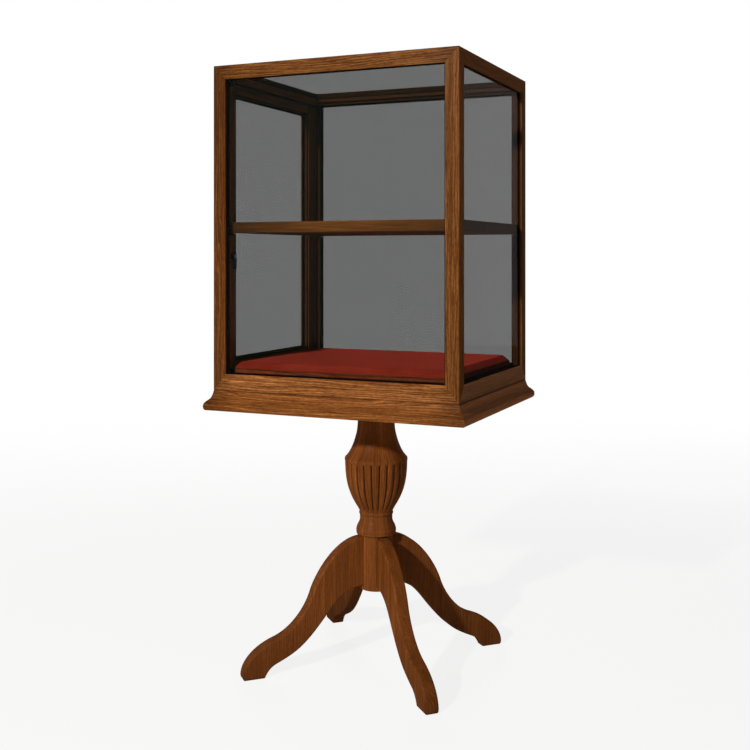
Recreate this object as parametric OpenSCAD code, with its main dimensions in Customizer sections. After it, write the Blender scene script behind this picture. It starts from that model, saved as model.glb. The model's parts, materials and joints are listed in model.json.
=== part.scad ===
// Pedestal display case: a glazed wooden case with a side door, a shelf and a
// velvet display deck, on a turned and reeded column with four S-curved legs.
// Millimetres. Origin on the floor under the column's axis, +Z up, the front of
// the case faces -Y, and the door is on the -X side.

/* [Case frame] */
// Width of the case frame, side to side
case_w = 610; // [480:5:760]
// Depth of the case frame, front to back
case_d = 510; // [420:5:640]
// Height of the case, from the underside of the base moulding to its top
case_h = 808; // [700:1:950]
// Width and depth of a corner post, which is square
post_w = 32; // [28:1:40]
// Height of the top rails
top_rail_h = 33; // [30:1:42]
// Height of the bottom rails
bottom_rail_h = 39; // [34:1:50]
// Diameter of the dowels in the frame's corners
frame_dowel_d = 6; // [5:0.5:7]
// Length of the dowels in the frame's corners
frame_dowel_l = 34; // [30:1:44]

/* [Base moulding] */
// Height of the base moulding
moulding_h = 46; // [38:1:60]
// How far the nose of the base moulding stands out past the frame
moulding_out = 18.5; // [12:0.5:26]
// How far the base moulding reaches in under the frame
moulding_in = 45; // [40:1:60]
// Thickness of the case floor
floor_t = 12; // [9:1:16]
// Width of the rebate that the case floor lies in
floor_rebate = 10; // [6:1:12]

/* [Glazing] */
// Thickness of the glass
glass_t = 4; // [3:0.5:5]
// Thickness of the wood left in front of a pane
lip_t = 5; // [3:0.5:7]
// Width of the rebates, past the sight line
rebate_w = 8; // [6:0.5:10]
// Depth of the rebate in the top rails
top_rebate = 16.5; // [12:0.5:20]
// Thickness of the dark seal between wood and glass
seal_t = 1.5; // [1:0.5:2.5]
// How far the seal shows past the sight line
seal_show = 3; // [1:0.5:5]
// Width of the glazing beads, along the glass
bead_w = 6; // [4:0.5:6]
// Depth of the glazing beads, away from the glass
bead_d = 7; // [5:0.5:9]

/* [Door] */
// Thickness of the door
door_t = 20; // [18:1:22]
// Width of the door's stiles
stile_w = 39; // [36:1:50]
// Height of the door's rails
door_rail_h = 31; // [30:1:46]
// Gap round the closed door
door_gap = 1.5; // [1:0.5:2.5]
// How far the door's seal shows past its sight line
door_seal_show = 1; // [0.5:0.5:3]
// Thickness of the tenons on the door's rails
tenon_t = 6; // [5:0.5:7]
// Length of the tenons on the door's rails
tenon_l = 24; // [16:1:28]
// Width and depth of the strips that the door closes against
stop_w = 8; // [6:1:10]

/* [Hinges] */
// Length of a hinge
hinge_l = 50; // [40:1:70]
// Distance from the door's top or bottom edge to the nearer end of a hinge
hinge_in = 70; // [50:5:120]
// Width of a hinge leaf on the wood
leaf_w = 15; // [12:0.5:16]
// Thickness of a hinge leaf
leaf_t = 1.2; // [1:0.1:1.4]
// Diameter of the hinge's knuckles
knuckle_d = 6.4; // [6:0.2:7]
// Diameter of the hinge pin
pin_d = 3; // [2.4:0.2:3.6]
// Length of the hinge screws
screw_l = 14; // [10:1:18]

/* [Knob and lock] */
// Diameter of the knob
knob_d = 22; // [18:1:26]
// How far the knob stands out from the door
knob_out = 16; // [14:1:17]
// Diameter of the lock's threaded housing
lock_d = 16; // [14:1:20]
// Diameter of the turning plug
plug_d = 10; // [8:0.5:11]
// Distance of the lock below the knob
lock_drop = 70; // [60:5:90]
// Reach of the lock's cam, from the plug's axis
cam_l = 30.5; // [28.5:0.5:32.5]

/* [Shelf and deck] */
// Height of the shelf's top above the underside of the base moulding
shelf_up = 441; // [380:1:480]
// Thickness of the shelf
shelf_t = 25; // [18:1:30]
// Diameter of the shelf pins
shelf_pin_d = 5; // [4:0.5:6]
// Thickness of the deck board
deck_t = 10; // [8:1:14]
// How far the top of the deck board stands above the bottom rails
deck_rise = 11; // [9:1:14]
// Thickness of the velvet pad
pad_t = 16; // [10:1:24]
// Width of the pad's bevel, seen from above
pad_bevel = 12; // [6:1:20]

/* [Stand] */
// Height of the stand, from the floor to the underside of the base moulding
stand_h = 630; // [560:1:760]
// Side of the square mounting block on top of the column
block_w = 200; // [180:5:240]
// Thickness of the mounting block
block_t = 24; // [20:1:30]
// Radius of the column's neck at its top
neck_r = 44; // [38:0.5:50]
// Radius of the column's urn at its widest
urn_r = 77; // [68:0.5:84]
// Number of reeds round the urn
reed_count = 24; // [16:1:28]
// Radius of the waist below the urn
waist_r = 40; // [36:0.5:43]
// Radius of the ring on top of the hub
ring_r = 49; // [47:0.5:54]
// Height of the turned waist, from the hub's top to the foot of the urn
waist_h = 59; // [50:1:68]
// Height of the reeded part of the urn
reeded_h = 121; // [100:1:126]
// Height of the plain band between the reeds and the urn's shoulder
band_h = 7; // [5:1:16]
// Radius of the hub that carries the legs
hub_r = 41; // [36:0.5:44]
// Height of the hub's flat underside above the floor
hub_low = 179; // [160:1:186]

/* [Legs] */
// Reach of a leg, from the column's axis to its toe
leg_reach = 338; // [300:1:380]
// Height at which the legs' tops meet the hub
leg_top = 309; // [290:1:312]
// Thickness of a leg
leg_t = 32; // [28:1:36]
// Radius of the rounding along a leg's edges
leg_round = 4; // [2:0.5:6]
// Diameter of the dowels between leg and hub
leg_dowel_d = 10; // [8:1:12]
// Length of the dowels between leg and hub
leg_dowel_l = 42; // [36:1:44]

/* [Hidden] */
// Clearances
fit = 0.5;              // a board or strip laid between its neighbours
glue = 0.1;             // round a dowel, a tenon or a screw in its hole
run = 0.05;             // round a turning pin or plug in its bore
pane_gap = 1;           // between a pane's edge and its rebate
flush = 0.5;            // how far the door lies behind the frame's face
fine = $preview ? 48 : 96;
$fn = fine;

// Places worked out from the driving sizes
half_w = case_w / 2;
half_d = case_d / 2;
in_w = half_w - post_w;
in_d = half_d - post_w;
frame_low = stand_h + moulding_h;
case_top = stand_h + case_h;
sight_low = frame_low + bottom_rail_h;
sight_high = case_top - top_rail_h;
sight_h = sight_high - sight_low;
floor_low = frame_low - floor_t;

wood = "#8a5428";
wood_dark = "#7a4722";
board = "#94683f";
brass = "#b8963e";
steel = "#8d9094";
velvet = "#7d2019";
seal_black = "#1a1a1a";
glass_tint = [0.75, 0.82, 0.82, 0.35];

// ---- Small helpers ----

// A box from its lowest to its highest corner
module span(low, high) {
    translate(low) cube(high - low);
}

// Points of a cubic curve through four control points, without its first point
function curve(p, steps = 12) = [
    for (i = [1:steps]) let (t = i / steps, s = 1 - t)
        s * s * s * p[0] + 3 * s * s * t * p[1] + 3 * s * t * t * p[2] + t * t * t * p[3]
];

// The case's sides. Local X runs along the side, local Y goes in from its outer
// face, and Z is up.
module on_front() { translate([0, -half_d, 0]) children(); }
module on_back() { rotate(180) translate([0, -half_d, 0]) children(); }
module on_right() { rotate(90) translate([0, -half_w, 0]) children(); }
module on_left() { rotate(-90) translate([0, -half_w, 0]) children(); }

// The case's corners. Local X and Y go in from the two outer faces.
module at_corner(side, end) {
    scale_x = side < 0 ? 0 : 1;
    scale_y = end < 0 ? 0 : 1;
    mirror([scale_x, 0, 0]) mirror([0, scale_y, 0])
        translate([-half_w, -half_d, 0]) children();
}

// A prism along local X whose section is the 2D child, drawn as [Y, Z]
module along_x(length) {
    rotate([90, 0, 90]) linear_extrude(length, center = true) children();
}

// A prism along local Y, from 0 to depth, whose section is drawn as [X, Z]
module along_y(depth) {
    translate([0, depth, 0]) rotate([90, 0, 0]) linear_extrude(depth) children();
}

// ---- Case frame ----

// A rebate cut from the inside round an opening of half width w
module rebate(w, low, high, face = 0) {
    span([-w - rebate_w, face + lip_t, low - rebate_w],
         [w + rebate_w, post_w + 1, high + rebate_w]);
}

module frame_rebates() {
    on_front() rebate(in_w, sight_low, sight_high);
    on_back() rebate(in_w, sight_low, sight_high);
    on_right() rebate(in_d, sight_low, sight_high);
    span([-in_w - rebate_w, -in_d - rebate_w, case_top - top_rebate],
         [in_w + rebate_w, in_d + rebate_w, case_top + 1]);
}

// Where the two dowels of a corner lie: how far in from the outer faces, and how
// far from the frame's end. One runs along X and passes inside the other.
dowel_x_in = 12;
dowel_y_in = 7;
dowel_x_end = top_rail_h - rebate_w - frame_dowel_d;
dowel_y_end = dowel_x_end - frame_dowel_d - 1;
dowel_start = 4;

module corner_dowels(clearance) {
    r = frame_dowel_d / 2 + clearance;
    l = frame_dowel_l + 2 * clearance;
    for (z = [[frame_low, 1], [case_top, -1]]) {
        translate([dowel_start - clearance, dowel_x_in, z[0] + z[1] * dowel_x_end])
            rotate([0, 90, 0]) cylinder(l, r, r, $fn = 32);
        translate([dowel_y_in, dowel_start - clearance, z[0] + z[1] * dowel_y_end])
            rotate([-90, 0, 0]) cylinder(l, r, r, $fn = 32);
    }
}

module all_corner_dowels(clearance) {
    for (side = [-1, 1], end = [-1, 1]) at_corner(side, end) corner_dowels(clearance);
}

// A corner post. Its ends are mitred against both of its rails, so that the three
// members meet in a point.
module post(side, end) {
    outline = [
        [0, frame_low], [post_w, sight_low], [post_w, sight_high], [0, case_top]
    ];
    color(wood) difference() {
        at_corner(side, end) intersection() {
            along_y(post_w) polygon(outline);
            rotate([90, 0, 90]) linear_extrude(post_w) polygon(outline);
        }
        frame_rebates();
        all_corner_dowels(glue);
        shelf_pin_set(glue);
        hinge_recess_case();
        hinge_screw_set(1, glue);
    }
}

// A rail of half length h. z_out is its outer face, at full length, and z_in is
// the face that looks into the opening.
module rail(h, z_out, z_in) {
    low = min(z_out, z_in);
    intersection() {
        translate([0, 0, low]) linear_extrude(abs(z_out - z_in))
            polygon([[-h, 0], [h, 0], [h - post_w, post_w], [post_w - h, post_w]]);
        along_y(post_w)
            polygon([[-h, z_out], [h, z_out], [h - post_w, z_in], [post_w - h, z_in]]);
    }
}

module cut_rail() {
    color(wood) difference() {
        children();
        frame_rebates();
        all_corner_dowels(glue);
    }
}

module frame_dowels() {
    color(board) all_corner_dowels(0);
}

// ---- Base moulding and case floor ----

// The moulding's face, from the seam under the frame to its underside: a shallow
// cove, an ogee and a rounded nose. Points are [share of the overhang, share of
// the height], counted outwards and down.
ogee_cove = [[0, 0], [0.04, 0.13], [0.14, 0.24], [0.22, 0.33]];
ogee_sweep = [[0.22, 0.33], [0.32, 0.45], [0.66, 0.49], [0.90, 0.64]];
ogee_nose = [[0.90, 0.64], [1.04, 0.72], [1.06, 0.94], [0.80, 1.00]];

module moulding_section() {
    face = concat([[0, 0]], curve(ogee_cove, 5), curve(ogee_sweep, 8), curve(ogee_nose, 8));
    polygon(concat(
        [for (p = face) [-p[0] * moulding_out, frame_low - p[1] * moulding_h]],
        [
            [moulding_in, stand_h],
            [moulding_in, floor_low],
            [moulding_in - floor_rebate, floor_low],
            [moulding_in - floor_rebate, frame_low]
        ]
    ));
}

module moulding(h) {
    long = h + moulding_out;
    short = h - moulding_in;
    color(wood) intersection() {
        along_x(2 * long) moulding_section();
        translate([0, 0, stand_h - 1]) linear_extrude(moulding_h + 2) polygon([
            [-long, -moulding_out], [long, -moulding_out],
            [short, moulding_in], [-short, moulding_in]
        ]);
    }
}

floor_w = half_w - moulding_in + floor_rebate - fit;
floor_d = half_d - moulding_in + floor_rebate - fit;

module case_floor() {
    color(board) difference() {
        span([-floor_w, -floor_d, floor_low], [floor_w, floor_d, frame_low]);
        stand_bolt_holes();
    }
}

// ---- Deck, pad and shelf ----

deck_top = sight_low + deck_rise;
deck_low = deck_top - deck_t;
deck_w = in_w - fit;
deck_d = in_d - fit;
bearer_w = 18;
pad_gap = 1;
pad_soft = 5;

module deck_bearers() {
    color(board) {
        for (end = [-1, 1]) {
            y = end * (deck_d - bearer_w / 2);
            span([-deck_w, y - bearer_w / 2, frame_low], [deck_w, y + bearer_w / 2, deck_low]);
            x = end * (deck_w - bearer_w / 2);
            side = deck_d - bearer_w - fit;
            span([x - bearer_w / 2, -side, frame_low], [x + bearer_w / 2, side, deck_low]);
        }
    }
}

module deck_board() {
    color(wood_dark) span([-deck_w, -deck_d, deck_low], [deck_w, deck_d, deck_top]);
}

// The pad's section across half width w: sloping sides, and a soft upper edge
module pad_section(w) {
    top = w - pad_bevel;
    edge = [
        [w, 0], [top + pad_bevel * pad_soft / pad_t, pad_t - pad_soft],
        [top, pad_t - pad_soft * 0.1], [top - pad_soft, pad_t]
    ];
    right = concat([[w, 0]], curve([edge[1], edge[2], edge[2], edge[3]], 6));
    left = [for (i = [len(right) - 1:-1:0]) [-right[i][0], right[i][1]]];
    polygon(concat(right, left));
}

module display_pad() {
    color(velvet) translate([0, 0, deck_top]) intersection() {
        translate([0, -half_d, 0]) along_y(case_d) pad_section(deck_w - pad_gap);
        along_x(case_w) pad_section(deck_d - pad_gap);
    }
}

shelf_top = stand_h + shelf_up;
shelf_low = shelf_top - shelf_t;
pane_in = lip_t + seal_t + glass_t;
shelf_right = half_w - pane_in - 3 * fit;
shelf_deep = in_d + rebate_w - fit;
shelf_left = -in_w - rebate_w + fit;

module shelf() {
    notch = [half_w - pane_in - bead_d - fit, in_d + rebate_w - bead_w - fit];
    color(wood_dark) difference() {
        span([shelf_left, -shelf_deep, shelf_low], [shelf_right, shelf_deep, shelf_top]);
        for (end = [0, 1]) mirror([0, end, 0])
            span([notch[0], notch[1], shelf_low - 1], [half_w, half_d, shelf_top + 1]);
    }
}

// A pin from the bottom of its hole to its free end, along local Z
pin_hole = 12;
pin_out = 18;
module shelf_pin(clearance) {
    r = shelf_pin_d / 2 + clearance;
    translate([0, 0, -pin_hole - clearance]) cylinder(pin_hole + pin_out + clearance, r, r, $fn = 32);
}

// The left pins stand out sideways from the posts, the right ones fore and aft
module shelf_pin_set(clearance) {
    z = shelf_low - shelf_pin_d / 2;
    y_left = in_d + shelf_pin_d / 2 + 2 * fit;
    x_right = half_w - pane_in - bead_d - shelf_pin_d / 2 - fit;
    for (end = [-1, 1]) {
        translate([-in_w - rebate_w, end * y_left, z]) rotate([0, 90, 0]) shelf_pin(clearance);
        translate([x_right, end * (in_d + rebate_w), z])
            rotate([end * 90, 0, 0]) shelf_pin(clearance);
    }
}

module shelf_pins() {
    color(brass) shelf_pin_set(0);
}

// ---- Glass, seals and beads ----
// Each takes the opening's half width w and its lowest and highest sight lines,
// and the depth of the wood's outer face on its side.

module pane(w, low, high, face = 0) {
    edge = rebate_w - pane_gap;
    y = face + lip_t + seal_t;
    color(glass_tint) span([-w - edge, y, low - edge], [w + edge, y + glass_t, high + edge]);
}

module seal(w, low, high, face = 0, show = seal_show) {
    edge = rebate_w - fit;
    y = face + lip_t;
    color(seal_black) difference() {
        span([-w - edge, y, low - edge], [w + edge, y + seal_t, high + edge]);
        span([-w + show, y - 1, low + show], [w - show, y + seal_t + 1, high - show]);
    }
}

module beads(w, low, high, face = 0) {
    y = face + pane_in;
    side = w + rebate_w;
    color(wood_dark) for (end = [-1, 1]) {
        z = end < 0 ? low - rebate_w : high + rebate_w - bead_w;
        span([-side, y, z], [side, y + bead_d, z + bead_w]);
        x = end < 0 ? -side : side - bead_w;
        span([x, y, low - rebate_w + bead_w], [x + bead_w, y + bead_d, high + rebate_w - bead_w]);
    }
}

module glazing_beads() {
    on_front() beads(in_w, sight_low, sight_high);
    on_back() beads(in_w, sight_low, sight_high);
    on_right() beads(in_d, sight_low, sight_high);
}

module glass_top() {
    w = in_w + rebate_w - pane_gap;
    d = in_d + rebate_w - pane_gap;
    z = case_top - top_rebate + seal_t;
    color(glass_tint) span([-w, -d, z], [w, d, z + glass_t]);
}

module seal_top() {
    w = in_w + rebate_w - fit;
    d = in_d + rebate_w - fit;
    z = case_top - top_rebate;
    color(seal_black) difference() {
        span([-w, -d, z], [w, d, z + seal_t]);
        span([-in_w + seal_show, -in_d + seal_show, z - 1],
             [in_w - seal_show, in_d - seal_show, z + seal_t + 1]);
    }
}

// ---- Door, in the left opening ----

door_h2 = in_d - door_gap;              // half the door's width
door_low = sight_low + door_gap;
door_high = sight_high - door_gap;
door_mid = (door_low + door_high) / 2;
light_w = door_h2 - stile_w;            // half the width of the door's light
light_low = door_low + door_rail_h;
light_high = door_high - door_rail_h;
door_back = flush + door_t;
tenon_y = flush + (door_t - tenon_t) / 2;
tenon_edge = 3;

module door_tenon(end, z_out, z_in, clearance) {
    a = z_out + tenon_edge * sign(z_in - z_out);
    b = z_in + rebate_w * sign(z_out - z_in);
    low = min(a, b) - clearance;
    high = max(a, b) + clearance;
    x = end * (light_w + tenon_l / 2);
    span([x - tenon_l / 2 - clearance, tenon_y - clearance, low],
         [x + tenon_l / 2 + clearance, tenon_y + tenon_t + clearance, high]);
}

module door_stile(end) {
    x = end * (door_h2 - stile_w / 2);
    color(wood) difference() {
        on_left() difference() {
            span([x - stile_w / 2, flush, door_low], [x + stile_w / 2, door_back, door_high]);
            rebate(light_w, light_low, light_high, flush);
            door_tenon(end, door_high, light_high, glue);
            door_tenon(end, door_low, light_low, glue);
        }
        if (end < 0) {
            hinge_recess_door();
            hinge_screw_set(-1, glue);
        } else {
            at_lock(lock_z) translate([0, 0, -1])
                cylinder(door_t + 2, lock_d / 2 + glue, lock_d / 2 + glue);
            at_lock(door_mid) knob_screw_solid(glue);
        }
    }
}

module door_rail(z_out, z_in) {
    color(wood) on_left() {
        difference() {
            span([-light_w, flush, min(z_out, z_in)], [light_w, door_back, max(z_out, z_in)]);
            rebate(light_w, light_low, light_high, flush);
        }
        for (end = [-1, 1]) door_tenon(end, z_out, z_in, 0);
    }
}

module door_glass() {
    on_left() pane(light_w, light_low, light_high, flush);
}

module door_seal() {
    on_left() seal(light_w, light_low, light_high, flush, door_seal_show);
}

module door_beads() {
    on_left() beads(light_w, light_low, light_high, flush);
}

// Strips over and under the door that it closes against
stop_gap = 0.3;
module door_stops() {
    y = door_back + stop_gap;
    color(wood_dark) on_left() for (z = [sight_low, sight_high - stop_w])
        span([-deck_d, y, z], [deck_d, y + stop_w, z + stop_w]);
}

// ---- Hinges ----
// Drawn about the pin: X goes into the wood, Y towards the post, Z up.

knuckle_r = knuckle_d / 2;
hinge_gap = 0.3;                        // between a knuckle and the wood's face
axis_in = knuckle_r + hinge_gap;        // from the pin's axis to the frame's face
hinge_x = -half_w - axis_in;
hinge_y = in_d - door_gap / 2;
hinge_heights = [door_low + hinge_in + hinge_l / 2, door_high - hinge_in - hinge_l / 2];
knuckle_count = 5;
knuckle_l = hinge_l / knuckle_count;
knuckle_gap = 0.2;
leaf_end = axis_in + leaf_w;
screw_r = 1.6;
screw_head_r = 2.9;
screw_x = axis_in + leaf_w * 0.55;

module at_hinges() {
    for (z = hinge_heights) translate([hinge_x, hinge_y, z]) children();
}

// A leaf on the side that Y points to (1, the post) or away from (-1, the door)
module hinge_leaf(side) {
    y = door_gap / 2;
    first = side > 0 ? 0 : 1;
    color(brass) difference() {
        union() {
            mirror([0, side < 0 ? 1 : 0, 0])
                span([axis_in + knuckle_gap, y, -hinge_l / 2], [leaf_end, y + leaf_t, hinge_l / 2]);
            for (k = [first:2:knuckle_count - 1]) {
                low = -hinge_l / 2 + k * knuckle_l + knuckle_gap / 2;
                translate([0, 0, low]) cylinder(knuckle_l - knuckle_gap, knuckle_r, knuckle_r, $fn = 48);
                mirror([0, side < 0 ? 1 : 0, 0])
                    span([0, y, low], [leaf_end, y + leaf_t, low + knuckle_l - knuckle_gap]);
            }
        }
        translate([0, 0, -hinge_l]) cylinder(2 * hinge_l, pin_d / 2 + run, pin_d / 2 + run, $fn = 48);
        hinge_screws(side, glue);
    }
}

// A countersunk screw through the leaf into the wood, its point away from the gap
module hinge_screws(side, clearance) {
    r = screw_r + clearance;
    head = screw_head_r + clearance;
    for (z = [-hinge_l / 3, hinge_l / 3])
        translate([screw_x, side * door_gap / 2, z]) rotate([-90 * side, 0, 0]) {
            cylinder(screw_l + clearance, r, r, $fn = 32);
            cylinder(leaf_t, head, r, $fn = 32);
        }
}

module hinge_screw_set(side, clearance) {
    at_hinges() hinge_screws(side, clearance);
}

module hinge_recess_case() {
    at_hinges() span([0, door_gap / 2 - 1, -hinge_l / 2 - glue],
                     [leaf_end + glue, door_gap / 2 + leaf_t, hinge_l / 2 + glue]);
}

module hinge_recess_door() {
    at_hinges() span([0, -door_gap / 2 - leaf_t, -hinge_l / 2 - glue],
                     [leaf_end + glue, 1 - door_gap / 2, hinge_l / 2 + glue]);
}

module hinge_leaves_case() { at_hinges() hinge_leaf(1); }
module hinge_leaves_door() { at_hinges() hinge_leaf(-1); }
module hinge_screws_case() { color(brass) hinge_screw_set(1, 0); }
module hinge_screws_door() { color(brass) hinge_screw_set(-1, 0); }

pin_cap = 2;
module hinge_pins() {
    cap_r = knuckle_r - 0.6;
    color(brass) at_hinges() {
        cylinder(hinge_l + 2 * pin_cap, pin_d / 2, pin_d / 2, center = true, $fn = 48);
        for (end = [0, 1]) mirror([0, 0, end]) translate([0, 0, hinge_l / 2])
            rotate_extrude($fn = 48) polygon(concat(
                [[0, 0], [cap_r, 0]],
                curve([[cap_r, 0], [cap_r, pin_cap], [cap_r / 2, pin_cap], [0, 2 * pin_cap]], 6)
            ));
    }
}

// ---- Knob and lock ----
// Drawn from the door's outer face: Z goes into the case, X down, Y to the back.

lock_y = -(door_h2 - stile_w / 2);
lock_z = door_mid - lock_drop;
cam_low = post_w - rebate_w - flush + hinge_gap;
cam_t = 2.5;
cam_w = 12;
flange_t = 2;
stud_r = 3;
housing_end = cam_low - fit;

module at_lock(z) {
    translate([-half_w + flush, lock_y, z]) rotate([0, 90, 0]) children();
}

module lock_housing() {
    bore = plug_d / 2 + run;
    color(brass) at_lock(lock_z) difference() {
        union() {
            translate([0, 0, -flange_t]) cylinder(flange_t, lock_d / 2 + 2, lock_d / 2 + 3);
            cylinder(housing_end, lock_d / 2, lock_d / 2);
        }
        translate([0, 0, -flange_t - 1]) cylinder(housing_end + flange_t + 2, bore, bore);
    }
}

module lock_nut() {
    bore = lock_d / 2 + glue;
    color(brass) at_lock(lock_z) difference() {
        translate([0, 0, door_t])
            cylinder(housing_end - door_t - glue, lock_d / 2 + 4, lock_d / 2 + 4, $fn = 6);
        translate([0, 0, door_t - 1]) cylinder(housing_end, bore, bore);
    }
}

// The plug turns in the housing. A shoulder on it bears against the housing's
// inner end, and its stud holds the cam.
key_w = 1.6;
key_h = 6;
key_deep = 5;
module lock_plug() {
    r = plug_d / 2;
    color(steel) at_lock(lock_z) difference() {
        union() {
            translate([0, 0, -flange_t]) cylinder(cam_low + flange_t, r, r);
            cylinder(cam_low + cam_t, stud_r, stud_r);
            translate([0, 0, cam_low + cam_t]) cylinder(2, stud_r + 2, stud_r + 1.5);
        }
        span([-key_h / 2, -key_w / 2, -flange_t - 1], [key_h / 2, key_w / 2, key_deep - flange_t]);
    }
}

module lock_cam() {
    bore = stud_r + run;
    color(steel) at_lock(lock_z) translate([0, 0, cam_low]) difference() {
        union() {
            cylinder(cam_t, cam_w / 2 + 2, cam_w / 2 + 2);
            span([0, -cam_w / 2, 0], [cam_l, cam_w / 2, cam_t]);
        }
        translate([0, 0, -1]) cylinder(cam_t + 2, bore, bore);
    }
}

// The knob's outline, as [radius, distance out from the door]
knob_foot = 7;
knob_neck = 4.6;
module door_knob() {
    r = knob_d / 2;
    outline = concat(
        [[0, 0], [knob_foot, 0], [knob_foot, 1.5]],
        curve([[knob_foot, 1.5], [knob_neck, 2.5], [knob_neck, 4], [knob_neck, 6]], 6),
        curve([[knob_neck, 6], [r * 0.7, 7], [r, 8], [r, knob_out * 0.68]], 8),
        curve([[r, knob_out * 0.68], [r, knob_out * 0.86], [r * 0.6, knob_out], [0, knob_out]], 8)
    );
    color(brass) at_lock(door_mid) difference() {
        rotate([180, 0, 0]) rotate_extrude() polygon(outline);
        knob_screw_solid(glue);
    }
}

knob_screw_r = 2;
knob_screw_in = 8;
knob_head_r = 4;
knob_head_t = 2.2;
module knob_screw_solid(clearance) {
    r = knob_screw_r + clearance;
    translate([0, 0, -knob_screw_in - clearance]) cylinder(door_t + knob_screw_in, r, r, $fn = 32);
    translate([0, 0, door_t - knob_head_t]) cylinder(knob_head_t, r, knob_head_r + clearance, $fn = 32);
}

module knob_screw() {
    color(steel) at_lock(door_mid) knob_screw_solid(0);
}

// ---- Stand: mounting block, column and bolts ----

block_low = floor_low - block_t;
tenon_r = 25;
bolt_at = block_w / 2 - 26;
bolt_r = 4;
bolt_hole_r = 4.5;
bolt_head_r = 7.5;
bolt_head_t = 5.3;
nut_t = 6.5;

module at_bolts() {
    for (x = [-bolt_at, bolt_at], y = [-bolt_at, bolt_at]) translate([x, y, 0]) children();
}

module stand_bolt_holes() {
    at_bolts() translate([0, 0, block_low - 1])
        cylinder(frame_low - block_low + 2, bolt_hole_r, bolt_hole_r, $fn = 48);
}

module mounting_block() {
    color(board) difference() {
        span([-block_w / 2, -block_w / 2, block_low], [block_w / 2, block_w / 2, floor_low]);
        translate([0, 0, block_low - 1]) cylinder(block_t + 2, tenon_r + glue, tenon_r + glue);
        stand_bolt_holes();
    }
}

module stand_bolts() {
    low = block_low - nut_t - 1;
    color(steel) at_bolts() {
        translate([0, 0, low]) cylinder(frame_low - low, bolt_r, bolt_r, $fn = 48);
        translate([0, 0, frame_low]) cylinder(bolt_head_t, bolt_head_r, bolt_head_r, $fn = 6);
    }
}

module stand_nuts() {
    bore = bolt_r + glue;
    color(steel) at_bolts() difference() {
        translate([0, 0, block_low - nut_t]) cylinder(nut_t, bolt_head_r, bolt_head_r, $fn = 6);
        translate([0, 0, block_low - nut_t - 1]) cylinder(nut_t + 2, bore, bore, $fn = 48);
    }
}

// The column's turned outline, built up from the hub. What is left between the
// urn's shoulder and the mounting block is the neck.
hub_over_leg = 4;
hub_top = leg_top + hub_over_leg;
urn_low = hub_top + waist_h;
urn_high = urn_low + reeded_h;
shoulder = urn_high + band_h;
neck_h = block_low - shoulder;
urn_end_r = waist_r + 2.5;
urn_curve = [
    [urn_r, urn_high], [urn_r, urn_high - 0.46 * reeded_h],
    [urn_r - 9, urn_low + 0.31 * reeded_h], [urn_end_r, urn_low]
];

// Reeds: how deep the grooves between them are, as a share of the reeds' pitch,
// and how far their crests lie below the turned surface above them
reed_depth = 0.2;
reed_step = 0.8;
reed_rings = 13;
reed_sides = [-1, -0.82, -0.45, 0, 0.45, 0.82];

// Radius of a reeded section whose turned radius is r, at a place across a reed
// that runs from -1 to 1
function reed_r(r, t) =
    r - reed_step - reed_depth * (2 * PI * r / reed_count) * (1 - sqrt(1 - t * t));

function reed_ring(r, z) = [
    for (k = [0:reed_count - 1], t = reed_sides)
        let (a = 360 / reed_count * (k + t / 2), rr = reed_r(r, t))
            [rr * cos(a), rr * sin(a), z]
];

// Skin between stacked rings of n points each, closed by the first and last ring
function tube_faces(rings, n) = concat(
    [for (j = [0:rings - 2], i = [0:n - 1]) [j * n + i, j * n + (i + 1) % n, (j + 1) * n + i]],
    [for (j = [0:rings - 2], i = [0:n - 1])
        [j * n + (i + 1) % n, (j + 1) * n + (i + 1) % n, (j + 1) * n + i]],
    [[for (i = [n - 1:-1:0]) i]],
    [[for (i = [0:n - 1]) (rings - 1) * n + i]]
);

module reeded_urn() {
    bury = 2;
    sections = concat(
        [[urn_r, urn_high + bury], urn_curve[0]],
        curve(urn_curve, reed_rings),
        [[waist_r - bury, urn_low - bury]]
    );
    points = [for (s = sections) each reed_ring(s[0], s[1])];
    polyhedron(points, tube_faces(len(sections), reed_count * len(reed_sides)), convexity = 6);
}

// The neck flares to the urn's crisp shoulder and rolls over it. Its heights are
// shares of the neck's own height.
function neck_at(share) = shoulder + share * neck_h;
neck_flare = [
    [[neck_r, neck_at(0.86)], [neck_r + 1, neck_at(0.64)],
     [neck_r + 1.5, neck_at(0.51)], [neck_r + 4, neck_at(0.43)]],
    [[neck_r + 4, neck_at(0.43)], [neck_r + 9, neck_at(0.28)],
     [urn_r - 16.5, neck_at(0.11)], [urn_r - 1.5, shoulder]],
    [[urn_r - 1.5, shoulder], [urn_r, shoulder - 0.2 * band_h],
     [urn_r + 0.3, shoulder - 0.5 * band_h], [urn_r, urn_high]]
];

// Under the urn: a fine bead, a cove, and a ring between two fine grooves. Their
// heights are shares of the waist's height, from the hub up.
function waist_at(share) = hub_top + share * waist_h;
waist_bead = [
    [waist_r + 0.6, waist_at(0.915)], [waist_r + 2, waist_at(0.88)],
    [waist_r + 2, waist_at(0.83)], [waist_r + 0.2, waist_at(0.797)]
];
waist_cove = [
    [waist_r - 0.2, waist_at(0.593)], [waist_r + 1, waist_at(0.475)],
    [ring_r - 4, waist_at(0.39)], [ring_r - 2, waist_at(0.305)]
];
ring_bead = [
    [ring_r - 1.4, waist_at(0.263)], [ring_r, waist_at(0.22)],
    [ring_r, waist_at(0.153)], [ring_r - 0.4, waist_at(0.085)]
];

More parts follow.
